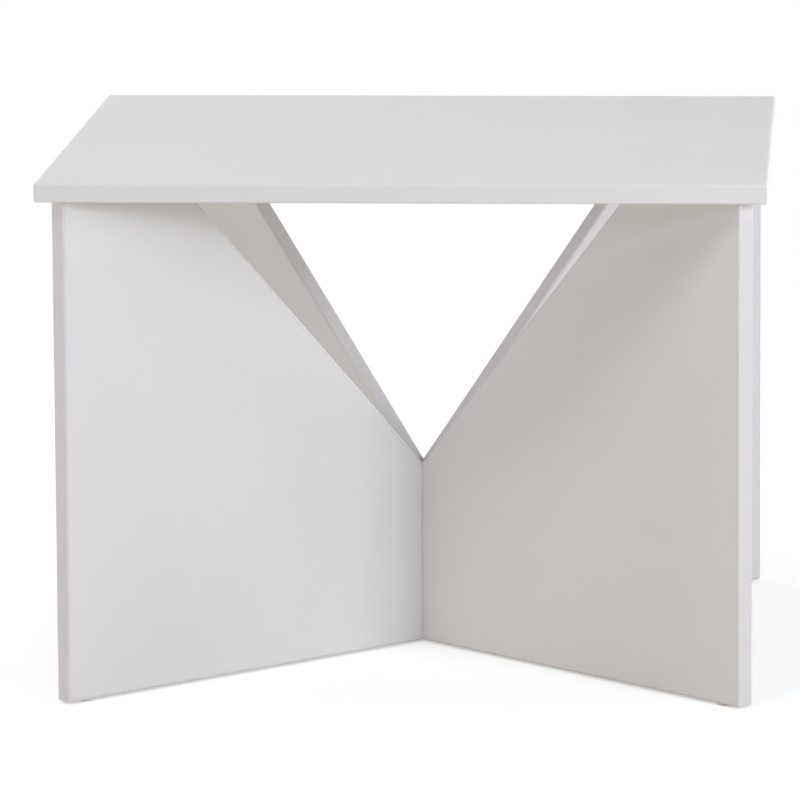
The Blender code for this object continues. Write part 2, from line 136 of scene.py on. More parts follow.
# Studio lamps: name, heading from the front and rise in degrees, side in metres, watts, tint
LAMPS = (
    ("key_right", 45, 13, 0.4, 12.2, (0.91, 1.0, 1.0)),
    ("key_right_outer", 50, 13, 0.4, 7.1, (0.72, 0.78, 1.0)),
    ("key_right_high", 50, 22, 0.4, 12.2, (0.8, 0.83, 1.0)),
    ("key_front", 22, 20, 0.4, 12.8, (0.92, 0.96, 1.0)),
    ("fill_front_left", 315, 1, 0.5, 5.0, (1.0, 0.89, 0.78)),
    ("fill_left", 270, 10, 1.2, 13.3, (0.92, 0.97, 1.0)),
    ("fill_back_left", 225, 30, 1.2, 29.4, (0.99, 0.97, 1.0)),
    ("fill_back", 180, 30, 1.2, 11.5, (0.89, 0.85, 1.0)),
    ("fill_back_right", 135, 8, 1.2, 35.1, (0.86, 0.95, 1.0)),
    ("fill_right", 90, 10, 1.2, 8.1, (1.0, 0.94, 0.88)),
    ("top_left", 330, 36, 0.8, 5.9, (1.0, 0.96, 1.0)),
    ("top_left_high", 330, 48, 0.8, 6.2, (0.84, 0.93, 1.0)),
    ("top_front", 345, 52, 0.8, 11.9, (1.0, 0.96, 0.95)),
    ("overhead", 0, 85, 1.2, 19.2, (1.0, 0.93, 0.83)),
)

# Least gap between a lamp and the floor, in metres
LAMP_CLEARANCE = 0.02

# Where the floor fades to white, as shares of the top's width
FADE_START_SHARE, FADE_END_SHARE = 1.5, 3.5


# Measures taken from the frame
def along(node, axis):
    """The lowest and highest place of a node along an axis."""
    places = [vertex.co.dot(axis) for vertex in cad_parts[node].data.vertices]
    return min(places), max(places)


def span(node, axis):
    low, high = along(node, axis)
    return high - low


class LegPanel:
    """One leg panel: its board, its run on the floor and the wings at the two ends of the run."""

    def __init__(self, board, wings):
        first, last = (sum(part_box(f"{wing}_glide"), Vector()) / 2 for wing in wings)
        self.board = board
        self.wings = dict(zip((-1, 1), wings))
        self.run = Vector((last.x - first.x, last.y - first.y, 0)).normalized()
        self.face = UP.cross(self.run)


PANEL_A = LegPanel("leg_panel_a", ("front_left", "back_right"))
PANEL_B = LegPanel("leg_panel_b", ("back_left", "front_right"))
LEG_PANELS = (PANEL_A, PANEL_B)
WINGS = [(panel, wing) for panel in LEG_PANELS for wing in panel.wings.values()]

TOP_WIDTH = span("top_front_band", Vector((1, 0, 0)))
TOP_DEPTH = 2 * along("top_back_band", Vector((0, 1, 0)))[1]
TOP_FOOT, TOP_FACE = along("top_board", UP)
BOARD_THICKNESS = TOP_FACE - TOP_FOOT
BAND_THICKNESS = span("top_front_band", Vector((0, 1, 0)))
LEG_FOOT, LEG_TOP = along("front_left_end_band", UP)
LEG_REACH = along("back_right_end_band", PANEL_A.run)[1]
LEG_THICKNESS = span(PANEL_A.board, PANEL_A.face)
NOTCH_APEX = max(vertex.co.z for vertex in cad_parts["back_right_notch_band"].data.vertices
                 if vertex.co.dot(PANEL_A.run) < BAND_THICKNESS)
NOTCH_REACH = along("back_right_notch_band", PANEL_A.run)[1] - BAND_THICKNESS * math.sqrt(2)


# Properties
def length(name, description, default):
    return bpy.props.FloatProperty(name=name, description=description, default=default,
                                   min=0, precision=5, unit="LENGTH")


def share(name, description, default):
    return bpy.props.FloatProperty(name=name, description=description, default=default,
                                   min=0, max=1, subtype="FACTOR")


def rotation(name, description, degrees):
    return bpy.props.FloatProperty(name=name, description=description,
                                   default=math.radians(degrees), unit="ROTATION")


def colour(name, description, default):
    return bpy.props.FloatVectorProperty(name=name, description=description, default=default,
                                         min=0, max=1, size=3, subtype="COLOR")


class CoffeeTableSizes(bpy.types.PropertyGroup):
    """Sizes of the banding and fittings that the frame leaves plain"""

    glue_line: length("Glue Line", "Seam between a board and its banding", 0.00006)
    edge_radius: length("Edge Radius", "Rounding of the banding's outer edges", 0.0021)
    skin: length("Melamine Skin", "Paper and resin on the chipboard", 0.00025)
    flute_depth: length("Flute Depth", "Glue grooves of a dowel", 0.0003)
    dowel_chamfer: length("Dowel Chamfer", "Chamfer on the ends of a dowel", 0.0008)
    thread_pitch: length("Thread Pitch", "Rise of the bolt's thread in one turn", 0.0014)
    thread_depth: length("Thread Depth", "Depth of the bolt's thread", 0.0007)
    cap_crown: length("Cap Crown", "Rise of a cam cap's middle over its shoulder", 0.0003)
    cap_edge: length("Cap Edge", "Rounding of a cam cap's rim", 0.0005)
    peg_span: length("Peg Span", "Reach of the cross under a cap", 0.0066)
    peg_width: length("Peg Width", "Thickness of the cross under a cap", 0.0012)
    glide_edge: length("Glide Edge", "Rounding of a glide's rim", 0.0007)
    nail_diameter: length("Nail Diameter", "Nail of a glide", 0.0022)
    nail_tip: length("Nail Tip", "Length of the nail's point", 0.002)


class CoffeeTableFinishes(bpy.types.PropertyGroup):
    """Colours, roughness and gloss of the materials"""

    melamine: colour("Melamine", "Colour of the board faces", (0.765, 0.765, 0.76))
    melamine_roughness: share("Melamine Roughness", "Roughness of the board faces", 0.75)
    melamine_gloss: share("Melamine Gloss", "Share of the usual surface reflection", 0.3)
    chipboard: colour("Chipboard", "Colour of the board's core", (0.50, 0.36, 0.22))
    banding: colour("Banding", "Colour of the edge banding", (0.71, 0.71, 0.705))
    banding_roughness: share("Banding Roughness", "Roughness of the edge banding", 0.4)
    banding_gloss: share("Banding Gloss", "Share of the usual surface reflection", 0.4)
    beech: colour("Beech", "Colour of the dowels", (0.60, 0.41, 0.24))
    zinc: colour("Zinc", "Colour of the cast cams", (0.55, 0.55, 0.54))
    steel: colour("Steel", "Colour of the plated bolts", (0.62, 0.60, 0.55))
    plastic: colour("Plastic", "Colour of caps and glides", (0.78, 0.78, 0.77))


class CoffeeTableStudio(bpy.types.PropertyGroup):
    """Camera, lamps and floor"""

    camera_place: bpy.props.FloatVectorProperty(
        name="Camera Place", description="Where the camera stands",
        default=(0.3644, -6.0489, 1.2123), size=3, subtype="TRANSLATION", unit="LENGTH")
    camera_heading: rotation("Camera Heading", "Turn about the upright axis", 3.631)
    camera_tilt: rotation("Camera Tilt", "Turn up from looking straight down", 80.612)
    camera_roll: rotation("Camera Roll", "Turn about the line of sight", -0.3365)
    lens: bpy.props.FloatProperty(
        name="Lens", description="Focal length on a 36 mm sensor", default=320.6, unit="CAMERA")
    lamp_distance: length("Lamp Distance", "From the table's middle to each lamp", 3.0)
    lamp_level: bpy.props.FloatProperty(
        name="Lamp Level", description="Strength of all lamps together", default=1.0, min=0)
    glow: colour("Glow", "Even light from all round", (0.03, 0.03, 0.03))
    floor: colour("Floor", "Colour that the floor throws back on the table", (0.95, 0.87, 0.8))
    floor_radius: length("Floor Radius", "Reach of the floor round the table", 9.0)
    shadow_share: share("Shadow Share", "Part of the floor's tone that a shadow takes away", 0.7)
    floor_glow: share("Floor Glow", "Part of the floor's tone that no shadow takes away", 0.47)


# Node helpers
def add_node(tree, kind, inputs=None, **settings):
    """A node with its settings, and its inputs set to a value or linked from a socket."""
    node = tree.nodes.new(kind)
    for name, value in settings.items():
        setattr(node, name, value)
    for name, value in (inputs or {}).items():
        if isinstance(value, bpy.types.NodeSocket):
            tree.links.new(value, node.inputs[name])
        else:
            node.inputs[name].default_value = value
    return node


def new_material(name, specular=0.5):
    material = bpy.data.materials.new(name)
    material.use_nodes = True
    tree = material.node_tree
    shader = tree.nodes["Principled BSDF"]
    shader.inputs["Specular IOR Level"].default_value = specular
    return material, tree, shader


def noise(tree, vector, scale, detail=2.0, stretch=None):
    """Noise from 0 to 1, drawn out along an axis whose stretch is below 1."""
    if stretch:
        vector = add_node(tree, "ShaderNodeMapping",
                          {"Vector": vector, "Scale": stretch}).outputs["Vector"]
    return add_node(tree, "ShaderNodeTexNoise",
                    {"Vector": vector, "Scale": scale, "Detail": detail}).outputs["Fac"]


def remap(tree, value, low, high, start=0.3, end=0.7):
    """A value that runs from low to high while the source runs from start to end."""
    return add_node(tree, "ShaderNodeMapRange",
                    {"Value": value, "From Min": start, "From Max": end,
                     "To Min": low, "To Max": high}).outputs["Result"]


def calc(tree, operation, a, b=0.0):
    return add_node(tree, "ShaderNodeMath", {0: a, 1: b}, operation=operation).outputs[0]


def mix(tree, factor, a, b):
    """A colour between two colours, which are sockets or plain red, green, blue."""
    a, b = ((*c, 1) if isinstance(c, tuple) else c for c in (a, b))
    return add_node(tree, "ShaderNodeMix", {MIX_FACTOR: factor, MIX_A: a, MIX_B: b},
                    data_type="RGBA").outputs[MIX_RESULT]


def shaded(base, factor):
    return tuple(min(channel * factor, 1.0) for channel in base)


def toned(tree, factor, base, tones):
    """A base colour that varies with the factor between two shares of itself."""
    low, high = tones
    return mix(tree, remap(tree, factor, 0, 1), shaded(base, low), shaded(base, high))


def uneven(tree, factor, middle):
    """A roughness that varies a little with the factor round its middle."""
    return remap(tree, factor, middle - ROUGHNESS_SPREAD, middle + ROUGHNESS_SPREAD)


def link(tree, shader, **sockets):
    for name, socket in sockets.items():
        tree.links.new(socket, shader.inputs[name.replace("_", " ").title()])


def add_bump(tree, shader, height, distance):
    bumped = add_node(tree, "ShaderNodeBump", {"Height": height, "Distance": distance})
    tree.links.new(bumped.outputs["Normal"], shader.inputs["Normal"])


def object_place(tree):
    return add_node(tree, "ShaderNodeTexCoord").outputs["Object"]


# Materials
def melamine_look(tree, place, finishes):
    """Colour, roughness and height of a satin melamine face with a fine pearl texture."""
    cloud = noise(tree, place, CLOUD_SCALE, detail=3)
    fleck = noise(tree, place, FLECK_SCALE)
    base = toned(tree, cloud, finishes.melamine, CLOUD_TONES)
    base = mix(tree, remap(tree, fleck, 0, FLECK_SHARE), base,
               shaded(finishes.melamine, FLECK_TONE))
    smear = noise(tree, place, SMEAR_SCALE, detail=4, stretch=SMEAR_STRETCH)
    rough = uneven(tree, smear, finishes.melamine_roughness)
    pearl = noise(tree, place, PEARL_SCALE, detail=3)
    return base, rough, pearl


def chipboard_look(tree, place, finishes):
    """Colour and height of pressed wood chips."""
    chips = add_node(tree, "ShaderNodeTexVoronoi", {"Vector": place, "Scale": CHIP_SCALE})
    tone = add_node(tree, "ShaderNodeSeparateColor", {"Color": chips.outputs["Color"]}).outputs[0]
    low, high = CHIP_TONES
    base = mix(tree, tone, shaded(finishes.chipboard, low), shaded(finishes.chipboard, high))
    return base, chips.outputs["Distance"]


def board_material(name, finishes, sizes, face, middle):
    """Melamine on the two faces of a board, chipboard between them wherever it is cut."""
    material, tree, shader = new_material(name, finishes.melamine_gloss)
    place = object_place(tree)
    height = add_node(tree, "ShaderNodeVectorMath", {0: place, 1: face},
                      operation="DOT_PRODUCT").outputs["Value"]
    depth = calc(tree, "ABSOLUTE", calc(tree, "SUBTRACT", height, middle))
    skin = calc(tree, "GREATER_THAN", depth, BOARD_THICKNESS / 2 - sizes.skin)
    base, rough, pearl = melamine_look(tree, place, finishes)
    core, chips = chipboard_look(tree, place, finishes)
    link(tree, shader, base_color=mix(tree, skin, core, base))
    link(tree, shader, roughness=calc(tree, "MAXIMUM", rough, calc(tree, "SUBTRACT", 1.0, skin)))
    relief = mix(tree, skin, chips, calc(tree, "MULTIPLY", pearl, PEARL_SHARE))
    add_bump(tree, shader, relief, CHIP_RELIEF)
    return material


def banding_material(finishes):
    """Extruded plastic edging: faint lines along its length and a fine grain."""
    material, tree, shader = new_material("white_banding_plastic", finishes.banding_gloss)
    place = object_place(tree)
    lines = noise(tree, place, LINE_SCALE, stretch=LINE_STRETCH)
    grain = noise(tree, place, PEARL_SCALE)
    link(tree, shader, base_color=toned(tree, lines, finishes.banding, BANDING_TONES),
         roughness=uneven(tree, lines, finishes.banding_roughness))
    add_bump(tree, shader, calc(tree, "ADD", lines, grain), FINE_RELIEF)
    return material


def beech_material(finishes):
    """Turned beech: fine grain along the dowel with short dark flecks."""
    material, tree, shader = new_material("beech")
    place = object_place(tree)
    grain = noise(tree, place, GRAIN_SCALE, detail=4, stretch=GRAIN_STRETCH)
    flecks = noise(tree, place, GRAIN_FLECK_SCALE, stretch=GRAIN_FLECK_STRETCH)
    base = toned(tree, grain, finishes.beech, GRAIN_TONES)
    base = mix(tree, remap(tree, flecks, 0, GRAIN_FLECK_SHARE, *GRAIN_FLECK_LEVELS), base,
               shaded(finishes.beech, GRAIN_FLECK_TONE))
    shader.inputs["Roughness"].default_value = BEECH_ROUGHNESS
    link(tree, shader, base_color=base)
    add_bump(tree, shader, grain, FINE_RELIEF)
    return material


def metal_material(name, tint, roughness, relief):
    """Plated or cast metal, with its grain in the roughness and the relief."""
    material, tree, shader = new_material(name)
    place = object_place(tree)
    grain = noise(tree, place, METAL_SCALE, detail=3)
    blotch = noise(tree, place, BLOTCH_SCALE)
    shader.inputs["Metallic"].default_value = 1.0
    link(tree, shader, base_color=toned(tree, blotch, tint, METAL_TONES),
         roughness=uneven(tree, grain, roughness))
    add_bump(tree, shader, grain, relief)
    return material


def plastic_material(finishes):
    """Moulded plastic with a fine sparked texture."""
    material, tree, shader = new_material("white_moulded_plastic")
    place = object_place(tree)
    spark = noise(tree, place, SPARK_SCALE, detail=3)
    tone = noise(tree, place, SMEAR_SCALE)
    link(tree, shader, base_color=toned(tree, tone, finishes.plastic, PLASTIC_TONES),
         roughness=uneven(tree, spark, PLASTIC_ROUGHNESS))
    add_bump(tree, shader, spark, FINE_RELIEF)
    return material


# Shapes
def object_from(bm, name, smooth=True):
    """A new object that takes over a finished bmesh, smooth except at its sharp edges."""
    mesh = bpy.data.meshes.new(name)
    bm.to_mesh(mesh)
    bm.free()
    if smooth:
        mesh.shade_smooth()
        mesh.set_sharp_from_angle(angle=math.radians(SHARP_DEGREES))
    obj = bpy.data.objects.new(name, mesh)
    bpy.context.scene.collection.objects.link(obj)
    return obj


def put(mesh_object, material, slot, *nodes):
    """Finishes a new piece, lets it ride on the table and stand for its frame nodes."""
    mesh_object.data.materials.append(material)
    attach(mesh_object, BODY)
    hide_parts(*nodes)


def board_frame(origin, run, outward):
    """Axes of a piece on a board: X along the run, Z out of the board and Y across both."""
    across = outward.cross(run)
    matrix = Matrix((run, across, outward)).transposed().to_4x4()
    return Matrix.Translation(origin) @ matrix


def glued_depth(sizes):
    """Thickness of a strip with the part of the frame's gap that it fills."""
    return BAND_THICKNESS + GLUED_GAP - sizes.glue_line


def strip(name, matrix, start, end, width, sizes, round_start=False, round_end=False):
    """A strip of banding. start and end give its reach on the outer and on the glued side."""
    depth = glued_depth(sizes)
    bm = bmesh.new()
    bmesh.ops.create_cube(bm, size=1)
    for vertex in bm.verts:
        at_end, outer = vertex.co.x > 0, vertex.co.z > 0
        vertex.co.x = (end if at_end else start)[0 if outer else 1]
        vertex.co.y *= width
        vertex.co.z = 0 if outer else -depth
    middle = (start[0] + end[0]) / 2
    soft = []
    for edge in bm.edges:
        a, b = (vertex.co for vertex in edge.verts)
        run_edge = (a.x < middle) != (b.x < middle)
        outer_edge = a.z == 0 and b.z == 0
        at_rounded_end = not run_edge and (round_end if a.x > middle else round_start)
        if outer_edge and run_edge or at_rounded_end and (a.z == 0 or b.z == 0):
            soft.append(edge)
    bmesh.ops.bevel(bm, geom=soft, offset=sizes.edge_radius, segments=EDGE_STEPS, profile=0.5,
                    affect="EDGES", clamp_overlap=True)
    obj = object_from(bm, name)
    obj.matrix_world = matrix
    normals = obj.modifiers.new("flat_faces", "WEIGHTED_NORMAL")
    normals.keep_sharp = True
    return obj


def round_piece(name, profile, steps, change=None):
    """A closed round solid about Z. The profile is (radius, height), from top to bottom.

    change(angle, height), where given, is added to the radius, for flutes and threads.
    """
    bm = bmesh.new()
    top = bm.verts.new((0, 0, profile[0][1]))
    foot = bm.verts.new((0, 0, profile[-1][1]))
    rings = []
    for radius, height in profile:
        ring = []
        for step in range(steps):
            angle = 2 * math.pi * step / steps
            reach = radius + (change(angle, height) if change else 0)
            ring.append(bm.verts.new((reach * math.cos(angle), reach * math.sin(angle), height)))
        rings.append(ring)
    for step in range(steps):
        after = (step + 1) % steps
        bm.faces.new((top, rings[0][step], rings[0][after]))
        bm.faces.new((foot, rings[-1][after], rings[-1][step]))
        for upper, lower in zip(rings, rings[1:]):
            bm.faces.new((upper[step], lower[step], lower[after], upper[after]))
    bmesh.ops.recalc_face_normals(bm, faces=bm.faces)
    return object_from(bm, name)


def quarter_round(radius, height, size, steps, upward=True):
    """Points round an outer edge, from the flat end to the side, or back again."""
    points = []
    for step in range(steps + 1):
        angle = math.pi / 2 * step / steps
        out, rise = size * math.sin(angle), size * math.cos(angle)
        level = height - size + rise if upward else height + size - rise
        points.append((radius - size + out, level))
    return points if upward else points[::-1]


def middle_of(node):
    low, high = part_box(node)
    return (low + high) / 2


def stand(obj, node):
    """Puts a round piece, made at its true height, on the upright axis of its frame node."""
    middle = middle_of(node)
    obj.location = (middle.x, middle.y, 0)


class COFFEETABLE_OT_dowels(bpy.types.Operator):
    """Model the fluted beech dowels, two in each wing"""

    bl_idname = "coffee_table.dowels"
    bl_label = "Turn Dowels"

    def execute(self, context):
        sizes = context.scene.coffee_table_sizes
        material = beech_material(context.scene.coffee_table_finishes)
        for panel, wing in WINGS:
            for row in ("inner", "outer"):
                node = f"{wing}_{row}_dowel"
                low, high = along(node, UP)
                radius = span(node, panel.run) / 2
                chamfer = sizes.dowel_chamfer
                profile = [(radius - chamfer, high), (radius, high - chamfer),
                           (radius, low + chamfer), (radius - chamfer, low)]
                piece = round_piece(f"{node}_pin", profile, DOWEL_FLUTES * STEPS_PER_FLUTE,
                                    lambda angle, height: flute(angle, sizes))
                stand(piece, node)
                put(piece, material, "beech_dowel", node)
        return {"FINISHED"}


def flute(angle, sizes):
    return sizes.flute_depth * (math.cos(DOWEL_FLUTES * angle) - 1) / 2


def bolt_profile(node):
    """The (radius, height) rings of a bolt in the frame, from its tip down to its head."""
    middle = middle_of(node)
    rings = set()
    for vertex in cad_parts[node].data.vertices:
        radius = math.hypot(vertex.co.x - middle.x, vertex.co.y - middle.y)
        rings.add((round(radius, RING_PLACES), round(vertex.co.z, RING_PLACES)))
    levels = sorted({height for radius, height in rings}, reverse=True)
    profile = []
    for level in levels:
        radii = sorted(radius for radius, height in rings if height == level and radius > 0)
        if profile and abs(radii[-1] - profile[-1][0]) < abs(radii[0] - profile[-1][0]):
            radii.reverse()
        profile += [(radius, level) for radius in radii]
    return profile


class COFFEETABLE_OT_cam_bolts(bpy.types.Operator):
    """Model the cam bolts with their threads"""

    bl_idname = "coffee_table.cam_bolts"
    bl_label = "Thread Cam Bolts"

    def execute(self, context):
        sizes = context.scene.coffee_table_sizes
        finishes = context.scene.coffee_table_finishes
        material = metal_material("zinc_plated_steel", finishes.steel, BOLT_ROUGHNESS,
                                  FINE_RELIEF)
        for _, wing in WINGS:
            node = f"{wing}_cam_bolt"
            rings = bolt_profile(node)
            upper, lower = rings[1], rings[2]
            count = math.ceil((upper[1] - lower[1]) / sizes.thread_pitch * STEPS_PER_THREAD)
            drop = (upper[1] - lower[1]) / count
            thread = [(upper[0], upper[1] - drop * step) for step in range(1, count)]
            profile = rings[:2] + thread + rings[2:]

            def groove(angle, height, high=upper[1], low=lower[1]):
                if not low < height < high:
                    return 0
                phase = (height / sizes.thread_pitch - angle / (2 * math.pi)) % 1
                fade = min(1, (high - height) / sizes.thread_pitch,
                           (height - low) / sizes.thread_pitch)
                return -sizes.thread_depth * fade * abs(2 * phase - 1)

            piece = round_piece(f"{node}_screw", profile, BOLT_STEPS, groove)
            stand(piece, node)
            put(piece, material, "steel_bolt", node)
        return {"FINISHED"}


class COFFEETABLE_OT_cam_locks(bpy.types.Operator):
    """Give the cam locks their cast zinc finish"""

    bl_idname = "coffee_table.cam_locks"
    bl_label = "Finish Cam Locks"

    def execute(self, context):
        finishes = context.scene.coffee_table_finishes
        material = metal_material("cast_zinc", finishes.zinc, CAST_ROUGHNESS, CAST_RELIEF)
        for _, wing in WINGS:
            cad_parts[f"{wing}_cam_lock"].material_slots[0].material = material
        return {"FINISHED"}


def cross(name, span_size, width, high, low):
    """An upright cross-shaped bar from low to high."""
    a, b = span_size / 2, width / 2
    quarter = [(a, -b), (a, b), (b, b)]
    bm = bmesh.new()
    points = []
    for turn in range(4):
        angle = turn * math.pi / 2
        for x, y in quarter:
            points.append((x * math.cos(angle) - y * math.sin(angle),
                           x * math.sin(angle) + y * math.cos(angle), low))
    face = bm.faces.new([bm.verts.new(point) for point in points])
    made = bmesh.ops.extrude_face_region(bm, geom=[face])
    moved = [item for item in made["geom"] if isinstance(item, bmesh.types.BMVert)]
    bmesh.ops.translate(bm, vec=(0, 0, high - low), verts=moved)
    bmesh.ops.recalc_face_normals(bm, faces=bm.faces)
    return object_from(bm, name, smooth=False)


def join_solids(base, tool):
    """Unites two solids in one mesh and removes the second object."""
    union = base.modifiers.new("union", "BOOLEAN")
    union.operation = "UNION"
    union.object = tool
    bpy.context.view_layer.update()
    shape = base.evaluated_get(bpy.context.evaluated_depsgraph_get())
    mesh = bpy.data.meshes.new_from_object(shape)
    base.modifiers.clear()
    base.data = mesh
    bpy.data.objects.remove(tool, do_unlink=True)


class COFFEETABLE_OT_cam_caps(bpy.types.Operator):
    """Model the crowned caps over the cams"""

    bl_idname = "coffee_table.cam_caps"
    bl_label = "Mould Cam Caps"

    def execute(self, context):
        sizes = context.scene.coffee_table_sizes
        material = plastic_material(context.scene.coffee_table_finishes)
        board_face = LEG_THICKNESS / 2
        for panel, wing in WINGS:
            node = f"{wing}_cam_cap"
            radius = span(node, panel.run) / 2
            peg_foot, high = along(node, panel.face)
            low = board_face + sizes.glue_line
            rim = radius - sizes.cap_edge
            profile = [(rim * step / CROWN_STEPS,
                        high - sizes.cap_crown * (step / CROWN_STEPS) ** 2)
                       for step in range(1, CROWN_STEPS)]
            profile += quarter_round(radius, high - sizes.cap_crown, sizes.cap_edge, EDGE_STEPS)
            profile.append((radius, low))
            piece = round_piece(f"{node}_cover", profile, ROUND_STEPS)
            peg = cross("peg", sizes.peg_span, sizes.peg_width, (low + high) / 2, peg_foot)
            join_solids(piece, peg)
            middle = middle_of(node)
            middle -= panel.face * middle.dot(panel.face)
            piece.matrix_world = board_frame(middle, panel.run, panel.face)
            put(piece, material, "white_plastic", node)
        return {"FINISHED"}


class COFFEETABLE_OT_glides(bpy.types.Operator):
    """Model the nail-in glides under the wings"""

    bl_idname = "coffee_table.glides"
    bl_label = "Mould Glides"

    def execute(self, context):
        sizes = context.scene.coffee_table_sizes
        finishes = context.scene.coffee_table_finishes
        plastic = plastic_material(finishes)
        steel = metal_material("nail_steel", finishes.steel, NAIL_ROUGHNESS, FINE_RELIEF)
        for panel, wing in WINGS:
            node = f"{wing}_glide"
            low, tip = along(node, UP)
            radius = span(node, panel.run) / 2
            high = LEG_FOOT - sizes.glue_line
            nail = sizes.nail_diameter / 2
            profile = [(nail * NAIL_TIP_SHARE, tip), (nail, tip - sizes.nail_tip), (nail, high)]
            profile += quarter_round(radius, high, sizes.glide_edge * UPPER_RIM_SHARE, EDGE_STEPS)
            profile += quarter_round(radius, low, sizes.glide_edge, EDGE_STEPS, upward=False)
            piece = round_piece(f"{node}_foot", profile, ROUND_STEPS)
            stand(piece, node)
            put(piece, plastic, "white_plastic", node)
            piece.data.materials.append(steel)
            steel_index = len(piece.data.materials) - 1
            for face in piece.data.polygons:
                above_disc = face.center.z > high
                if above_disc and Vector(face.center.xy).length < radius / 2:
                    face.material_index = steel_index
        return {"FINISHED"}


class COFFEETABLE_OT_boards(bpy.types.Operator):
    """Give the top and the leg panels their melamine faces and chipboard core"""

    bl_idname = "coffee_table.boards"
    bl_label = "Finish Boards"

    def execute(self, context):
        finishes = context.scene.coffee_table_finishes
        sizes = context.scene.coffee_table_sizes
        boards = [("top_board", UP, (TOP_FOOT + TOP_FACE) / 2)]
        boards += [(panel.board, panel.face, 0.0) for panel in LEG_PANELS]
        for node, face, middle in boards:
            material = board_material(f"{node}_melamine", finishes, sizes, face, middle)
            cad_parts[node].material_slots[0].material = material
        return {"FINISHED"}


class COFFEETABLE_OT_top_banding(bpy.types.Operator):
    """Model the four strips of edge banding round the top"""

    bl_idname = "coffee_table.top_banding"
    bl_label = "Band Top"

    def execute(self, context):
        sizes = context.scene.coffee_table_sizes
        material = banding_material(context.scene.coffee_table_finishes)
        wide, deep = Vector((1, 0, 0)), Vector((0, 1, 0))
        full_half = TOP_WIDTH / 2
        inner_half = TOP_DEPTH / 2 - BAND_THICKNESS - GLUED_GAP
        strips = (("front", -deep, TOP_DEPTH / 2, wide, full_half, True),
                  ("back", deep, TOP_DEPTH / 2, wide, full_half, True),
                  ("left", -wide, TOP_WIDTH / 2, deep, inner_half, False),
                  ("right", wide, TOP_WIDTH / 2, deep, inner_half, False))
        for name, outward, reach, run, half, rounded in strips:
            middle = outward * reach + UP * (TOP_FOOT + TOP_FACE) / 2
            piece = strip(f"top_{name}_banding", board_frame(middle, run, outward),
                          (-half, -half), (half, half), BOARD_THICKNESS, sizes, rounded, rounded)
            put(piece, material, "white_banding", f"top_{name}_band")
        return {"FINISHED"}


class COFFEETABLE_OT_leg_banding(bpy.types.Operator):
    """Model the banding on the ends, the notches and the feet of the leg panels"""

    bl_idname = "coffee_table.leg_banding"
    bl_label = "Band Legs"

    def execute(self, context):
        sizes = context.scene.coffee_table_sizes
        material = banding_material(context.scene.coffee_table_finishes)
        height = LEG_TOP - LEG_FOOT
        slope = math.atan2(LEG_TOP - NOTCH_APEX, NOTCH_REACH)
        depth = glued_depth(sizes)
        lap = LEG_THICKNESS / 2 + sizes.glue_line
        for panel in LEG_PANELS:
            for side, wing in panel.wings.items():
                out = panel.run * side
                matrix = board_frame(out * LEG_REACH + UP * LEG_FOOT, UP, out)
                piece = strip(f"{wing}_end_banding", matrix, (0, 0), (height, height),
                              LEG_THICKNESS, sizes, round_start=True)
                put(piece, material, "white_banding", f"{wing}_end_band")
                up_slope = out * math.cos(slope) + UP * math.sin(slope)
                outward = UP * math.cos(slope) - out * math.sin(slope)
                start = sizes.glue_line / 2 if panel is PANEL_A else lap
                start_run = start / math.cos(slope)
                end_run = (LEG_TOP - NOTCH_APEX) / math.sin(slope)
                matrix = board_frame(UP * NOTCH_APEX, up_slope, outward)
                piece = strip(f"{wing}_notch_banding", matrix,
                              (start_run, start_run - depth * math.tan(slope)),
                              (end_run, end_run + depth / math.tan(slope)),
                              LEG_THICKNESS, sizes)
                put(piece, material, "white_banding", f"{wing}_notch_band")
            end = LEG_REACH - BAND_THICKNESS - GLUED_GAP
            matrix = board_frame(UP * LEG_FOOT, panel.run, -UP)
            if panel is PANEL_A:
                for side, wing in panel.wings.items():
                    low, high = sorted((side * lap, side * end))
                    piece = strip(f"{wing}_foot_banding", matrix, (low, low), (high, high),
                                  LEG_THICKNESS, sizes)
                    put(piece, material, "white_banding", f"{wing}_foot_band")
            else:
                piece = strip("leg_panel_b_foot_banding", matrix, (-end, -end), (end, end),
                              LEG_THICKNESS, sizes)
                put(piece, material, "white_banding", "leg_panel_b_foot_band")
        return {"FINISHED"}


# Studio
def add_lamp(studio, name, heading, rise, side, power, tint):
    """A square softbox at a compass heading and a rise, which faces the middle of the table."""
    aim = Vector((0, 0, (LEG_FOOT + TOP_FACE) / 2))
    heading, rise = math.radians(heading), math.radians(rise)
    out = Vector((math.sin(heading) * math.cos(rise), -math.cos(heading) * math.cos(rise),
                  math.sin(rise)))
    lamp = bpy.data.objects.new(name, bpy.data.lights.new(name, "AREA"))
    bpy.context.scene.collection.objects.link(lamp)
    lamp.data.shape = "SQUARE"
    lamp.data.size = side
    lamp.data.energy = power * studio.lamp_level
    lamp.data.color = tint
    lamp.visible_camera = False
    lamp.location = aim + out * studio.lamp_distance
    lamp.location.z = max(lamp.location.z, side / 2 + LAMP_CLEARANCE)
    lamp.rotation_euler = (aim - lamp.location).to_track_quat("-Z", "Y").to_euler()


def seen_directly(tree):
    """One for rays from the camera and for those that metal or glass sends on, else zero."""
    path = add_node(tree, "ShaderNodeLightPath")
    glossy, through = path.outputs["Is Glossy Ray"], path.outputs["Is Transmission Ray"]
    sharp = calc(tree, "MAXIMUM", glossy, through)
    return calc(tree, "MAXIMUM", path.outputs["Is Camera Ray"], sharp)


def add_world(scene, studio):
    """A white background that lights the table only with a weak even glow."""
    world = bpy.data.worlds.new("studio")
    scene.world = world
    world.use_nodes = True
    tree = world.node_tree
    background = tree.nodes["Background"]
    light = mix(tree, seen_directly(tree), tuple(studio.glow), WHITE)
    tree.links.new(light, background.inputs["Color"])


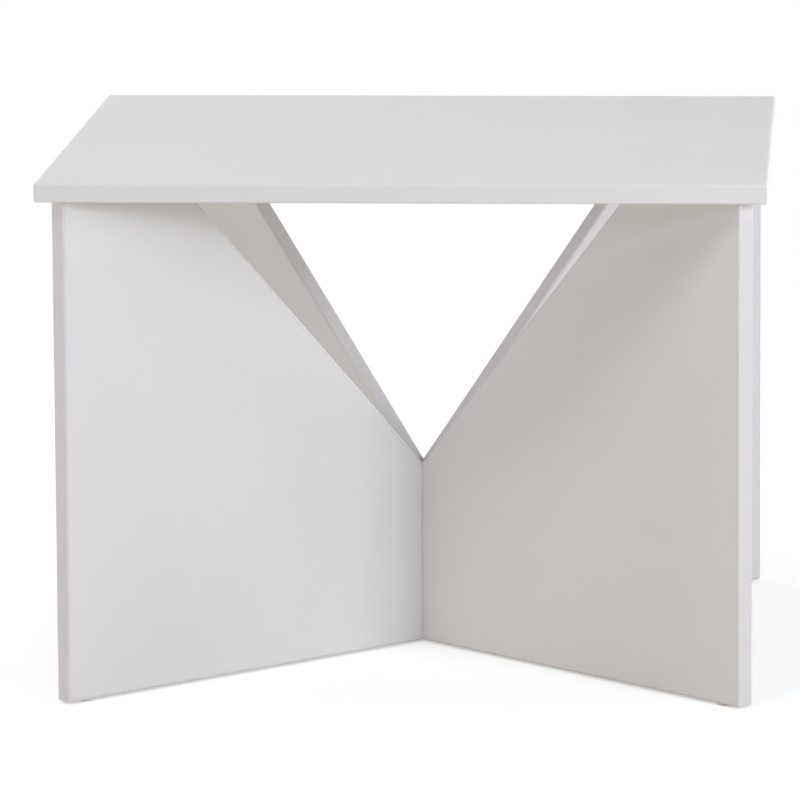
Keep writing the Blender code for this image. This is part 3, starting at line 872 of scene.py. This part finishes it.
def add_floor(studio):
    """A pale floor that fades to the white background and keeps the table's shadow."""
    bm = bmesh.new()
    bmesh.ops.create_circle(bm, cap_ends=True, segments=ROUND_STEPS, radius=studio.floor_radius)
    floor = object_from(bm, "floor", smooth=False)
    material = bpy.data.materials.new("pale_floor")
    material.use_nodes = True
    tree = material.node_tree
    tree.nodes.remove(tree.nodes["Principled BSDF"])
    pale = add_node(tree, "ShaderNodeBsdfDiffuse", {"Color": (*studio.floor, 1)})
    shadow = add_node(tree, "ShaderNodeBsdfDiffuse",
                      {"Color": (*shaded(WHITE, studio.shadow_share), 1)})
    base_glow = add_node(tree, "ShaderNodeEmission", {"Strength": studio.floor_glow})
    near = add_node(tree, "ShaderNodeAddShader", {0: shadow.outputs[0], 1: base_glow.outputs[0]})
    far = add_node(tree, "ShaderNodeEmission")
    reach = add_node(tree, "ShaderNodeVectorMath", {0: object_place(tree)}, operation="LENGTH")
    fade = add_node(tree, "ShaderNodeMapRange",
                    {"Value": reach.outputs["Value"], "From Min": TOP_WIDTH * FADE_START_SHARE,
                     "From Max": TOP_WIDTH * FADE_END_SHARE}, interpolation_type="SMOOTHSTEP")
    shown = add_node(tree, "ShaderNodeMixShader",
                     {0: fade.outputs["Result"], 1: near.outputs[0], 2: far.outputs[0]})
    both = add_node(tree, "ShaderNodeMixShader",
                    {0: seen_directly(tree), 1: pale.outputs[0], 2: shown.outputs[0]})
    tree.links.new(both.outputs[0], tree.nodes["Material Output"].inputs["Surface"])
    floor.data.materials.append(material)


class COFFEETABLE_OT_studio(bpy.types.Operator):
    """Set up the floor, the lamps and the camera"""

    bl_idname = "coffee_table.studio"
    bl_label = "Set Up Studio"

    def execute(self, context):
        studio = context.scene.coffee_table_studio
        scene = context.scene
        scene.view_settings.view_transform = "Standard"
        camera = bpy.data.objects.new("camera", bpy.data.cameras.new("camera"))
        scene.collection.objects.link(camera)
        camera.data.sensor_width = SENSOR_WIDTH
        camera.data.lens = studio.lens
        camera.data.clip_end = VIEW_REACH
        turn = (Matrix.Rotation(studio.camera_heading, 4, "Z")
                @ Matrix.Rotation(studio.camera_tilt, 4, "X")
                @ Matrix.Rotation(studio.camera_roll, 4, "Z"))
        camera.matrix_world = Matrix.Translation(studio.camera_place) @ turn
        scene.camera = camera

        add_world(scene, studio)
        add_floor(studio)
        for lamp in LAMPS:
            add_lamp(studio, *lamp)
        return {"FINISHED"}


# Panel and registration
class COFFEETABLE_PT_sidebar(bpy.types.Panel):
    """Coffee table builder"""

    bl_idname = "COFFEETABLE_PT_sidebar"
    bl_label = "Coffee Table"
    bl_space_type = "VIEW_3D"
    bl_region_type = "UI"
    bl_category = "Coffee Table"

    def draw(self, context):
        for name, group in GROUPS.items():
            settings = getattr(context.scene, name)
            column = self.layout.column()
            for setting in group.__annotations__:
                column.prop(settings, setting)
        for operator in OPERATORS:
            self.layout.operator(operator.bl_idname)


OPERATORS = (COFFEETABLE_OT_boards, COFFEETABLE_OT_top_banding, COFFEETABLE_OT_leg_banding,
             COFFEETABLE_OT_dowels, COFFEETABLE_OT_cam_bolts, COFFEETABLE_OT_cam_locks,
             COFFEETABLE_OT_cam_caps, COFFEETABLE_OT_glides, COFFEETABLE_OT_studio)
GROUPS = {"coffee_table_sizes": CoffeeTableSizes, "coffee_table_finishes": CoffeeTableFinishes,
          "coffee_table_studio": CoffeeTableStudio}


def register():
    for name, group in GROUPS.items():
        bpy.utils.register_class(group)
        setattr(bpy.types.Scene, name, bpy.props.PointerProperty(type=group))
    for cls in (*OPERATORS, COFFEETABLE_PT_sidebar):
        bpy.utils.register_class(cls)


def unregister():
    for cls in (COFFEETABLE_PT_sidebar, *reversed(OPERATORS)):
        bpy.utils.unregister_class(cls)
    for name, group in GROUPS.items():
        delattr(bpy.types.Scene, name)
        bpy.utils.unregister_class(group)


def main():
    register()
    bpy.ops.coffee_table.boards()
    bpy.ops.coffee_table.top_banding()
    bpy.ops.coffee_table.leg_banding()
    bpy.ops.coffee_table.dowels()
    bpy.ops.coffee_table.cam_bolts()
    bpy.ops.coffee_table.cam_locks()
    bpy.ops.coffee_table.cam_caps()
    bpy.ops.coffee_table.glides()
    bpy.ops.coffee_table.studio()


if __name__ == "__main__":
    main()
